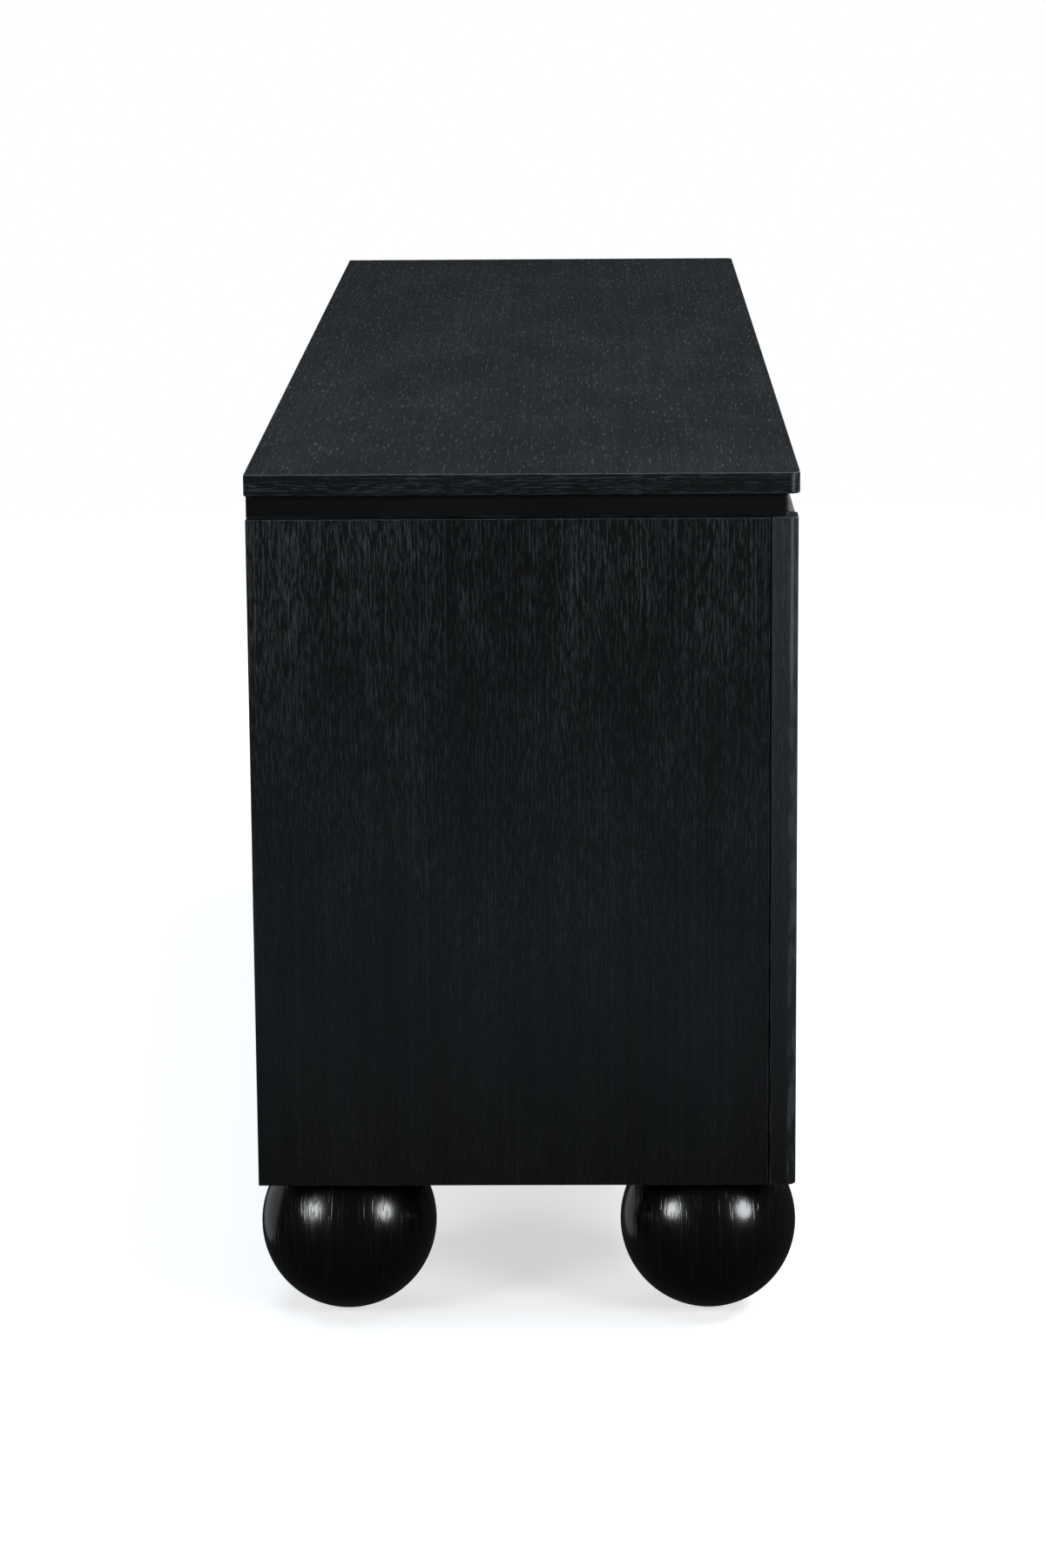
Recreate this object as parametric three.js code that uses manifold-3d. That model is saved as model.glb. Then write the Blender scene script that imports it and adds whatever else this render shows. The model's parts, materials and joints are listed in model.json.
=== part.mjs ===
// A long six-drawer dresser on four ball feet, in millimetres, +Z up.
// X runs along the length, the drawers face -Y, and the origin is on the floor under the middle of the case.
import * as THREE from "three";
import { mergeVertices } from "three/addons/utils/BufferGeometryUtils.js";
import Module from "manifold-3d";

const wasm = await Module();
wasm.setup();

// ---- Case
const CASE_LENGTH = 1524; // over the two side panels
const CASE_DEPTH = 457; // from the face of the end stiles to the back edge of the sides
const CASE_HEIGHT = 576; // of the side panels
const SIDE_THICKNESS = 28; // side panels, and the end stiles in line with them
const PARTITION_THICKNESS = 28; // the partition, and the centre stile in line with it
const PANEL_THICKNESS = 22; // sub-top and bottom
const BACK_THICKNESS = 6;
const BACK_INSET = 2; // the back sits this far inside the rear edges of the sides
const BACK_RABBET = 8; // how far the back reaches into each side
const GLUE_LINE = 0.25; // left at every joint between fixed pieces

// ---- Stiles
const STILE_DEPTH = 22.5; // front to back
const STILE_PROUD = 2; // the end stiles stand this far in front of the drawers and rails
const STILE_CORNER_R = 8; // on the outer vertical edge
const SHADOW_GROOVE = 1.2; // the dark line between a stile and the panel behind it
const TONGUE_WIDTH = 8;
const TONGUE_REACH = 8; // how far a tongue goes into its panel

// ---- Top
const TOP_THICKNESS = 18;
const TOP_OVERHANG = 1;
const TOP_CORNER_R = 8; // the two front corners, in plan
const TOP_BACK_CORNER_R = 1.5;
const RISER_HEIGHT = 20; // the recessed strips that carry the top
const RISER_SETBACK = 9; // at the front and the two sides
const RISER_WIDTH = 60;
const RISER_CORNER_R = 2;

// ---- Ball feet
const BALL_RADIUS = 76;
const BALL_CENTRE_DROP = 56; // from the underside of the case to the centre of the ball
const FOOT_FLAT = 1.5; // height of the slice taken off under the ball
const FOOT_OVERHANG = 3.5; // the ball reaches this far past the case, front or back and side
const STUD_RADIUS = 4;
const STUD_SHORTFALL = 4; // from the top of the foot's threaded stud to the top of the bottom panel
const STUD_CLEARANCE = 0.75; // around the stud, in its hole
const BALL_SIDES = 32;
const BALL_RINGS = 13;
const STUD_HOLE_SIDES = 12;

// ---- Drawers
const ROWS = ["bottom", "middle", "top"]; // from the floor up
const COLUMNS = ["left", "right"]; // as seen from the front
const FRONT_THICKNESS = 20;
const FRONT_GAP = 2.5; // around and between the drawer fronts
const GRIP_RADIUS = 30; // the half-round finger grip in the top edge of each front
const GRIP_SEGMENTS = 16;
const BOX_WALL = 12;
const BOX_RISE = 14; // underside of the box above the lower edge of its front
const BOX_BELOW_GRIP = 4; // top of the box below the bottom of the finger grip
const BOX_BACK_CLEARANCE = 27; // between the closed box and the back of the case
const BASE_THICKNESS = 5; // the sheet that the drawer's load rests on
const BASE_RISE = 10; // its groove, above the underside of the box
const BASE_GROOVE_DEPTH = 6;
const BASE_PLAY = 0.3; // around the sheet in its groove

// ---- Slides: two members, three-quarter extension, one pair on each drawer
const SLIDE_SPACE = 12.7; // between the box and the wall of its bay
const SLIDE_FRONT_INSET = 4; // from the back of the drawer front to the slide's front end
const SLIDE_BACK_INSET = 6; // from the slide's back end to the back of the box
const SLIDE_SHEET = 1.2;
const CASE_MEMBER_HEIGHT = 35;
const CASE_MEMBER_LIP = 3.2;
const CASE_MEMBER_CLEARANCE = 3; // from its lips to the box
const DRAWER_MEMBER_CLEARANCE = 2.5; // from its edges to the web of the case member
const BALL_TRACK = 2.8; // between the lips of one member and the flanges of the other
const SCREWED_GAP = 0.25; // between a member and the wood that it is screwed to

// ---- Places that follow from the sizes
const floorToCase = BALL_RADIUS - FOOT_FLAT + BALL_CENTRE_DROP;
const caseTop = floorToCase + CASE_HEIGHT;
const halfLength = CASE_LENGTH / 2;
const frontFace = -CASE_DEPTH / 2; // of the end stiles
const backFace = CASE_DEPTH / 2;
const railFace = frontFace + STILE_PROUD; // of the rails, centre stile and drawer fronts
const stileBack = frontFace + STILE_DEPTH;
const panelFront = stileBack + SHADOW_GROOVE;
const backPanelFront = backFace - BACK_INSET - BACK_THICKNESS;
const innerX = halfLength - SIDE_THICKNESS; // inner face of a side panel
const bayFloor = floorToCase + PANEL_THICKNESS;
const bayCeiling = caseTop - PANEL_THICKNESS;
const bayWidth = innerX - PARTITION_THICKNESS / 2;
const frontWidth = bayWidth - 2 * FRONT_GAP;
const frontHeight = (bayCeiling - bayFloor - (ROWS.length + 1) * FRONT_GAP) / ROWS.length;
const frontBack = railFace + FRONT_THICKNESS;
const boxWidth = bayWidth - 2 * SLIDE_SPACE;
const boxHeight = frontHeight - GRIP_RADIUS - BOX_BELOW_GRIP - BOX_RISE;
const boxFront = frontBack + GLUE_LINE;
const boxBack = backPanelFront - BOX_BACK_CLEARANCE;
const slideFront = frontBack + SLIDE_FRONT_INSET;
const slideLength = boxBack - SLIDE_BACK_INSET - slideFront;
const footX = halfLength + FOOT_OVERHANG - BALL_RADIUS;
const footY = CASE_DEPTH / 2 + FOOT_OVERHANG - BALL_RADIUS;

// ---- Finishes
const finish = (color, roughness, metalness = 0) =>
  new THREE.MeshStandardMaterial({ color, roughness, metalness });
const blackOak = finish(0x17191b, 0.55);
const blackTurnedOak = finish(0x0d0e0f, 0.25);
const backBoard = finish(0x1c1b1a, 0.8);
const drawerWood = finish(0xc9a878, 0.6);
const drawerPly = finish(0xd3b88c, 0.65);
const zincSteel = finish(0xa9adb0, 0.35, 1);

// ---- Ways to make a piece
// A board between two corners, each corner given as [x, y, z].
function board(name, material, low, high) {
  const size = high.map((value, axis) => value - low[axis]);
  const mesh = new THREE.Mesh(new THREE.BoxGeometry(...size), material);
  mesh.name = name;
  mesh.position.set(...low.map((value, axis) => value + size[axis] / 2));
  return mesh;
}

// An outline in plan, taken straight up from one height to another.
function standing(name, material, outline, low, high, curveSegments = 6) {
  const geometry = new THREE.ExtrudeGeometry(outline, {
    depth: high - low,
    bevelEnabled: false,
    curveSegments,
  });
  const mesh = new THREE.Mesh(geometry, material);
  mesh.name = name;
  mesh.position.z = low;
  return mesh;
}

// An outline seen from the front, x to the right and z up, taken back from one depth to another.
function facing(name, material, outline, near, far, curveSegments = 6) {
  const geometry = new THREE.ExtrudeGeometry(outline, {
    depth: far - near,
    bevelEnabled: false,
    curveSegments,
  });
  geometry.rotateX(Math.PI / 2);
  const mesh = new THREE.Mesh(geometry, material);
  mesh.name = name;
  mesh.position.y = far;
  return mesh;
}

// A closed outline through corners [x, y, radius], with each corner rounded where it has a radius.
function roundedOutline(corners) {
  const outline = new THREE.Shape();
  corners.forEach(([x, y, radius = 0], i) => {
    const [px, py] = corners[(i + corners.length - 1) % corners.length];
    const [nx, ny] = corners[(i + 1) % corners.length];
    const before = new THREE.Vector2(px - x, py - y).setLength(radius);
    const after = new THREE.Vector2(nx - x, ny - y).setLength(radius);
    const start = [x + before.x, y + before.y];
    if (i === 0) outline.moveTo(...start);
    else outline.lineTo(...start);
    if (!radius) return;
    const centre = [start[0] + after.x, start[1] + after.y];
    const from = Math.atan2(-after.y, -after.x);
    const to = Math.atan2(-before.y, -before.x);
    const turn = Math.atan2(Math.sin(to - from), Math.cos(to - from));
    outline.absarc(...centre, radius, from, from + turn, turn < 0);
  });
  outline.closePath();
  return outline;
}

// ---- Solids that are cut from one another
function solidOf(mesh) {
  mesh.updateMatrix();
  const geometry = mesh.geometry.clone().applyMatrix4(mesh.matrix);
  geometry.deleteAttribute("normal");
  geometry.deleteAttribute("uv");
  const merged = mergeVertices(geometry);
  return new wasm.Manifold(
    new wasm.Mesh({
      numProp: 3,
      vertProperties: merged.attributes.position.array,
      triVerts: new Uint32Array(merged.index.array),
    }),
  );
}

function cutFrom(mesh, ...tools) {
  const cut = tools.reduce((left, tool) => left.subtract(solidOf(tool)), solidOf(mesh));
  const { numProp, vertProperties, triVerts } = cut.getMesh();
  const positions = new Float32Array((vertProperties.length / numProp) * 3);
  for (let i = 0; i < positions.length / 3; i++)
    positions.set(vertProperties.subarray(i * numProp, i * numProp + 3), i * 3);
  const geometry = new THREE.BufferGeometry();
  geometry.setAttribute("position", new THREE.BufferAttribute(positions, 3));
  geometry.setIndex(new THREE.BufferAttribute(triVerts, 1));
  geometry.computeVertexNormals();
  const result = new THREE.Mesh(geometry, mesh.material);
  result.name = mesh.name;
  return result;
}

// ---- The case
// side is -1 for the left end and 1 for the right.
function sidePanel(name, side) {
  const outer = side * halfLength;
  const inner = side * innerX;
  const middle = (outer + inner) / 2;
  const half = (side * (TONGUE_WIDTH + GLUE_LINE * 2)) / 2;
  const grooveEnd = panelFront + TONGUE_REACH + GLUE_LINE;
  const rabbetX = inner + side * BACK_RABBET;
  const outline = roundedOutline([
    [outer, panelFront],
    [outer, backFace],
    [rabbetX, backFace],
    [rabbetX, backPanelFront - GLUE_LINE],
    [inner, backPanelFront - GLUE_LINE],
    [inner, panelFront],
    [middle - half, panelFront],
    [middle - half, grooveEnd],
    [middle + half, grooveEnd],
    [middle + half, panelFront],
  ]);
  return standing(name, blackOak, outline, floorToCase, caseTop);
}

// The stile's tongue keys into the groove of the panel behind it.
function endStile(name, side) {
  const outer = side * halfLength;
  const inner = side * innerX;
  const middle = (outer + inner) / 2;
  const half = (side * TONGUE_WIDTH) / 2;
  const outline = roundedOutline([
    [outer, frontFace, STILE_CORNER_R],
    [outer, stileBack],
    [middle + half, stileBack],
    [middle + half, panelFront + TONGUE_REACH],
    [middle - half, panelFront + TONGUE_REACH],
    [middle - half, stileBack],
    [inner, stileBack],
    [inner, frontFace],
  ]);
  return standing(name, blackOak, outline, floorToCase, caseTop);
}

function partition() {
  const halfThickness = PARTITION_THICKNESS / 2;
  const half = TONGUE_WIDTH / 2 + GLUE_LINE;
  const grooveEnd = panelFront + TONGUE_REACH + GLUE_LINE;
  const outline = roundedOutline([
    [-halfThickness, panelFront],
    [-half, panelFront],
    [-half, grooveEnd],
    [half, grooveEnd],
    [half, panelFront],
    [halfThickness, panelFront],
    [halfThickness, backPanelFront - GLUE_LINE],
    [-halfThickness, backPanelFront - GLUE_LINE],
  ]);
  return standing("partition", blackOak, outline, bayFloor + GLUE_LINE, bayCeiling - GLUE_LINE);
}

function centreStile() {
  const halfThickness = PARTITION_THICKNESS / 2;
  const half = TONGUE_WIDTH / 2;
  const outline = roundedOutline([
    [-halfThickness, railFace],
    [halfThickness, railFace],
    [halfThickness, stileBack],
    [half, stileBack],
    [half, panelFront + TONGUE_REACH],
    [-half, panelFront + TONGUE_REACH],
    [-half, stileBack],
    [-halfThickness, stileBack],
  ]);
  return standing("centre_stile", blackOak, outline, bayFloor + GLUE_LINE, bayCeiling - GLUE_LINE);
}

// The bottom has a hole for each foot's stud.
function bottomPanel() {
  const x = innerX - GLUE_LINE;
  const outline = roundedOutline([
    [-x, railFace],
    [x, railFace],
    [x, backPanelFront - GLUE_LINE],
    [-x, backPanelFront - GLUE_LINE],
  ]);
  for (const sx of [-1, 1])
    for (const sy of [-1, 1]) {
      const hole = new THREE.Path();
      hole.absarc(sx * footX, sy * footY, STUD_RADIUS + STUD_CLEARANCE, 0, 2 * Math.PI);
      outline.holes.push(hole);
    }
  return standing("bottom_panel", blackOak, outline, floorToCase, bayFloor, STUD_HOLE_SIDES);
}

function subTop() {
  const x = innerX - GLUE_LINE;
  const low = [-x, railFace, bayCeiling];
  const high = [x, backPanelFront - GLUE_LINE, caseTop];
  return board("sub_top", blackOak, low, high);
}

function backPanel() {
  const x = innerX + BACK_RABBET - GLUE_LINE;
  const low = [-x, backPanelFront, floorToCase];
  const high = [x, backPanelFront + BACK_THICKNESS, caseTop - GLUE_LINE];
  return board("back_panel", backBoard, low, high);
}

// ---- The recessed strips and the top
function risers() {
  const bottom = caseTop + GLUE_LINE;
  const top = caseTop + RISER_HEIGHT - GLUE_LINE;
  const front = frontFace + RISER_SETBACK;
  const outer = halfLength - RISER_SETBACK;
  const inner = outer - RISER_WIDTH;
  const between = inner - GLUE_LINE;
  const end = (name, side) =>
    standing(
      name,
      blackOak,
      roundedOutline([
        [side * outer, front, RISER_CORNER_R],
        [side * outer, backFace],
        [side * inner, backFace],
        [side * inner, front],
      ]),
      bottom,
      top,
      3,
    );
  return [
    end("riser_left", -1),
    end("riser_right", 1),
    board("riser_front", blackOak, [-between, front, bottom], [between, front + RISER_WIDTH, top]),
    board("riser_back", blackOak, [-between, backFace - RISER_WIDTH, bottom], [between, backFace, top]),
  ];
}

function topPanel() {
  const x = halfLength + TOP_OVERHANG;
  const y = CASE_DEPTH / 2 + TOP_OVERHANG;
  const outline = roundedOutline([
    [-x, -y, TOP_CORNER_R],
    [x, -y, TOP_CORNER_R],
    [x, y, TOP_BACK_CORNER_R],
    [-x, y, TOP_BACK_CORNER_R],
  ]);
  const bottom = caseTop + RISER_HEIGHT;
  return standing("top_panel", blackOak, outline, bottom, bottom + TOP_THICKNESS);
}

// ---- A foot: a turned ball, sliced flat under the case and on the floor, with its threaded stud
function ballFoot(name, x, y) {
  const top = BALL_CENTRE_DROP - GLUE_LINE;
  const studTop = BALL_CENTRE_DROP + PANEL_THICKNESS - STUD_SHORTFALL;
  const low = Math.asin((FOOT_FLAT - BALL_RADIUS) / BALL_RADIUS);
  const high = Math.asin(top / BALL_RADIUS);
  const profile = [new THREE.Vector2(0, FOOT_FLAT - BALL_RADIUS)];
  for (let i = 0; i <= BALL_RINGS; i++) {
    const angle = low + ((high - low) * i) / BALL_RINGS;
    profile.push(new THREE.Vector2(BALL_RADIUS * Math.cos(angle), BALL_RADIUS * Math.sin(angle)));
  }
  profile.push(new THREE.Vector2(STUD_RADIUS, top));
  profile.push(new THREE.Vector2(STUD_RADIUS, studTop));
  profile.push(new THREE.Vector2(0, studTop));
  const geometry = new THREE.LatheGeometry(profile, BALL_SIDES);
  geometry.rotateX(Math.PI / 2);
  const mesh = new THREE.Mesh(geometry, blackTurnedOak);
  mesh.name = name;
  mesh.position.set(x, y, BALL_RADIUS - FOOT_FLAT);
  return mesh;
}

// ---- Slides, as sections across the slide; side is -1 on the left wall of a bay and 1 on the right
// x is measured from the middle of the bay and z from the middle of the slide.
function caseMember(name, side) {
  const wall = bayWidth / 2 - SCREWED_GAP;
  const web = wall - SLIDE_SHEET;
  const edge = boxWidth / 2 + CASE_MEMBER_CLEARANCE;
  const lip = edge + SLIDE_SHEET;
  const out = CASE_MEMBER_HEIGHT / 2;
  const inside = out - SLIDE_SHEET;
  const tip = out - CASE_MEMBER_LIP;
  const half = [
    [wall, out],
    [edge, out],
    [edge, tip],
    [lip, tip],
    [lip, inside],
    [web, inside],
  ];
  return facing(name, zincSteel, mirroredSection(half, side), 0, slideLength);
}

function drawerMember(name, side) {
  const wall = boxWidth / 2 + SCREWED_GAP;
  const web = wall + SLIDE_SHEET;
  const edge = bayWidth / 2 - SCREWED_GAP - SLIDE_SHEET - DRAWER_MEMBER_CLEARANCE;
  const out = CASE_MEMBER_HEIGHT / 2 - CASE_MEMBER_LIP - BALL_TRACK;
  const inside = out - SLIDE_SHEET;
  const half = [
    [wall, out],
    [edge, out],
    [edge, inside],
    [web, inside],
  ];
  return facing(name, zincSteel, mirroredSection(half, side), 0, slideLength);
}

// The upper half of a channel's section, and its mirror image below.
function mirroredSection(half, side) {
  const other = half.map(([x, z]) => [x, -z]).reverse();
  return roundedOutline([...half, ...other].map(([x, z]) => [side * x, z]));
}

// ---- A drawer, with x from the middle of its bay and z from the lower edge of its front
function drawerFront(name) {
  const x = frontWidth / 2;
  const outline = new THREE.Shape();
  outline.moveTo(-x, 0);
  outline.lineTo(x, 0);
  outline.lineTo(x, frontHeight);
  outline.lineTo(GRIP_RADIUS, frontHeight);
  outline.absarc(0, frontHeight, GRIP_RADIUS, 0, -Math.PI, true);
  outline.lineTo(-x, frontHeight);
  outline.closePath();
  return facing(name, blackOak, outline, railFace, frontBack, GRIP_SEGMENTS);
}

// Four boards glued into a tray, with a groove all round for the sheet.
function drawerBox(name) {
  const low = BOX_RISE;
  const high = low + boxHeight;
  const past = 1; // how far the cut runs out above and below
  const grooveLow = low + BASE_RISE;
  const grooveHigh = grooveLow + BASE_THICKNESS + 2 * BASE_PLAY;
  const inFromOutside = (inset, bottom, top) =>
    board(
      name,
      drawerWood,
      [-boxWidth / 2 + inset, boxFront + inset, bottom],
      [boxWidth / 2 - inset, boxBack - inset, top],
    );
  return cutFrom(
    inFromOutside(0, low, high),
    inFromOutside(BOX_WALL, low - past, high + past),
    inFromOutside(BOX_WALL - BASE_GROOVE_DEPTH, grooveLow, grooveHigh),
  );
}

function drawerBase(name) {
  const inset = BOX_WALL - BASE_GROOVE_DEPTH + BASE_PLAY;
  const x = boxWidth / 2 - inset;
  const low = BOX_RISE + BASE_RISE + BASE_PLAY;
  return board(
    name,
    drawerPly,
    [-x, boxFront + inset, low],
    [x, boxBack - inset, low + BASE_THICKNESS],
  );
}

// ---- The dresser
const dresser = new THREE.Group();
dresser.add(
  topPanel(),
  ...risers(),
  subTop(),
  bottomPanel(),
  backPanel(),
  partition(),
  centreStile(),
);
for (const [name, side] of [["left", -1], ["right", 1]]) {
  dresser.add(sidePanel(`side_panel_${name}`, side), endStile(`end_stile_${name}`, side));
  dresser.add(ballFoot(`ball_foot_front_${name}`, side * footX, -footY));
  dresser.add(ballFoot(`ball_foot_back_${name}`, side * footX, footY));
}

COLUMNS.forEach((column, c) => {
  const bayX = (c === 0 ? -1 : 1) * (PARTITION_THICKNESS + bayWidth) / 2;
  ROWS.forEach((row, r) => {
    const lower = bayFloor + FRONT_GAP + r * (frontHeight + FRONT_GAP);
    const slideHeight = BOX_RISE + boxHeight / 2;
    const drawer = new THREE.Group();
    drawer.position.set(bayX, 0, lower);
    drawer.add(
      drawerFront(`${row}_${column}_front`),
      drawerBox(`${row}_${column}_box`),
      drawerBase(`${row}_${column}_base`),
    );
    const slides = new THREE.Group();
    slides.position.set(0, slideFront, slideHeight);
    for (const [name, side] of [["l", -1], ["r", 1]])
      slides.add(
        caseMember(`${row}_${column}_case_slide_${name}`, side),
        drawerMember(`${row}_${column}_drawer_slide_${name}`, side),
      );
    drawer.add(slides);
    dresser.add(drawer);
  });
});

export default dresser;
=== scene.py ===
import json
import math
import bmesh
import bpy
from mathutils import Matrix, Vector


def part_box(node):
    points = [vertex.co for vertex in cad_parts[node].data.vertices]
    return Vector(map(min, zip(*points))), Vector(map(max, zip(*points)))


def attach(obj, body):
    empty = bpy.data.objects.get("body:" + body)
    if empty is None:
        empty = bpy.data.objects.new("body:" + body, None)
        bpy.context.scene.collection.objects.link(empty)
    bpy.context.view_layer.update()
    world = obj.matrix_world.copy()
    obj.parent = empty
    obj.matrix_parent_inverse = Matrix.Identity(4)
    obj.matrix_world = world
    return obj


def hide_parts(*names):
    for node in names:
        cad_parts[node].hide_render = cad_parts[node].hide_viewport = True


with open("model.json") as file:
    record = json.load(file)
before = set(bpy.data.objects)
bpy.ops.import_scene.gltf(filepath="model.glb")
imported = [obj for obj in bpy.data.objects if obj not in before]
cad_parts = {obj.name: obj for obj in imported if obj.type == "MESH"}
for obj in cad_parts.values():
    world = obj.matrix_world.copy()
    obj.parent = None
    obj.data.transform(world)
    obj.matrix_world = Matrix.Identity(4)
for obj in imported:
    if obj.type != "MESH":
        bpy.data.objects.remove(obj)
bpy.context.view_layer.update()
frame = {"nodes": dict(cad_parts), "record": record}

# Long black brushed-oak dresser on ball feet. Metres, +Z up, drawers towards -Y.

nodes = frame["nodes"]
record = frame["record"]
bodyOf = {node: body for body, names in record["behaviour"]["bodies"].items() for node in names}
slotOf = {part["node"]: part["material_slot"] for part in record["subparts"]}
rows = ["bottom", "middle", "top"]
columns = ["left", "right"]
drawers = [f"{row}_{column}" for column in columns for row in rows]


camera = {
    "lens": 90.7,
    "back": 3.1994,      # in front of the near end
    "aside": -0.0521,    # towards the drawers
    "above": 0.5487,     # over the top
    "turn": 0.0161,      # radians, towards the back
    "dip": 0.1822,
    "roll": -0.0078,
    "shift": -1 / 6,
    "reach": 60,
}


def makeCamera():
    low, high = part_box("top_panel")
    forward = Vector((math.cos(camera["dip"]) * math.cos(camera["turn"]),
                      math.cos(camera["dip"]) * math.sin(camera["turn"]),
                      -math.sin(camera["dip"])))
    right = forward.cross(Vector((0, 0, 1))).normalized()
    up = right.cross(forward)
    cosine = math.cos(camera["roll"])
    sine = math.sin(camera["roll"])
    rolledRight = cosine * right + sine * up
    rolledUp = cosine * up - sine * right
    lensData = bpy.data.cameras.new("studioCamera")
    lensData.lens = camera["lens"]
    lensData.shift_y = camera["shift"]
    lensData.clip_end = camera["reach"]
    eye = bpy.data.objects.new("studioCamera", lensData)
    turn = Matrix((rolledRight, rolledUp, -forward)).transposed().to_4x4()
    spot = Vector((low.x - camera["back"], camera["aside"], high.z + camera["above"]))
    eye.matrix_world = Matrix.Translation(spot) @ turn
    bpy.context.scene.collection.objects.link(eye)
    bpy.context.scene.camera = eye


class Tree:
    def __init__(self, tree):
        self.tree = tree

    def add(self, kind, inputs=None, **settings):
        node = self.tree.nodes.new(kind)
        for key, value in settings.items():
            setattr(node, key, value)
        for key, value in (inputs or {}).items():
            socket = node.inputs[key]
            if isinstance(value, bpy.types.NodeSocket):
                self.tree.links.new(value, socket)
            else:
                socket.default_value = value
        return node

    def math(self, operation, a, b=0.0):
        return self.add("ShaderNodeMath", {0: a, 1: b}, operation=operation).outputs[0]

    def remap(self, value, low, high, toLow=0.0, toHigh=1.0, smooth=True):
        node = self.add("ShaderNodeMapRange", {0: value, 1: low, 2: high, 3: toLow, 4: toHigh},
                        interpolation_type="SMOOTHSTEP" if smooth else "LINEAR")
        return node.outputs[0]

    def blend(self, amount, a, b, mode="MIX"):
        node = self.add("ShaderNodeMix", {0: amount, 6: a, 7: b}, data_type="RGBA", blend_type=mode)
        return node.outputs[2]

    def noise(self, where, stretch, detail=2.0, roughness=0.5, distortion=0.0):
        mapping = self.add("ShaderNodeMapping", {"Vector": where, "Scale": stretch})
        node = self.add("ShaderNodeTexNoise", {"Vector": mapping.outputs[0], "Scale": 1.0, "Detail": detail,
                                               "Roughness": roughness, "Distortion": distortion})
        return node.outputs[0]


def newMaterial(name):
    material = bpy.data.materials.new(name)
    material.use_nodes = True
    material.node_tree.nodes.clear()
    tree = Tree(material.node_tree)
    surface = tree.add("ShaderNodeBsdfPrincipled")
    tree.add("ShaderNodeOutputMaterial", {"Surface": surface.outputs[0]})
    return material, tree, surface


def joinUp(tree, surface, **sockets):
    for key, value in sockets.items():
        tree.tree.links.new(value, surface.inputs[key])


turnTo = {"z": (0, 0, 0), "x": (0, math.pi / 2, 0), "y": (math.pi / 2, 0, 0)}    # brings the grain onto Z


blackOak = {
    "ground": (0.0042, 0.0049, 0.0053, 1),
    "tint": (0.0046, 0.0060, 0.0066, 1),     # where the stain is thin
    "streak": (0.046, 0.054, 0.058, 1),      # fibres that the brush has bared
    "rubAndPaintedHighlight": (0.038, 0.043, 0.046, 1),         # wear along the arrises, lightened further as a painted highlight
    "shade": (0.58, 0.50, 0.46, 1),          # painted shade: darker and warmer near the floor
    "roughness": 0.34,
    "gloss": 0.35,
    "pores": (1850, 1850, 85),               # patterns are in repeats per metre, with the grain along Z
    "lines": (1110, 1110, 2),
    "fibres": (2960, 2960, 102),
    "bands": (70, 70, 1.6),
    "clouds": (14, 14, 6),
    "specks": (520, 520, 42),
    "patches": (160, 160, 40),
    "poreStart": 0.56,
    "poreEnd": 0.68,
    "lineShare": 0.55,                       # how far the long lines steer the pores
    "fibreShare": 0.25,
    "bump": 0.35,
    "relief": 0.0003,
    "rubGloss": 0.18,                        # a rubbed arris is this much less rough
    "rubBump": 0.12,                         # and keeps this share of the bump
}
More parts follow.
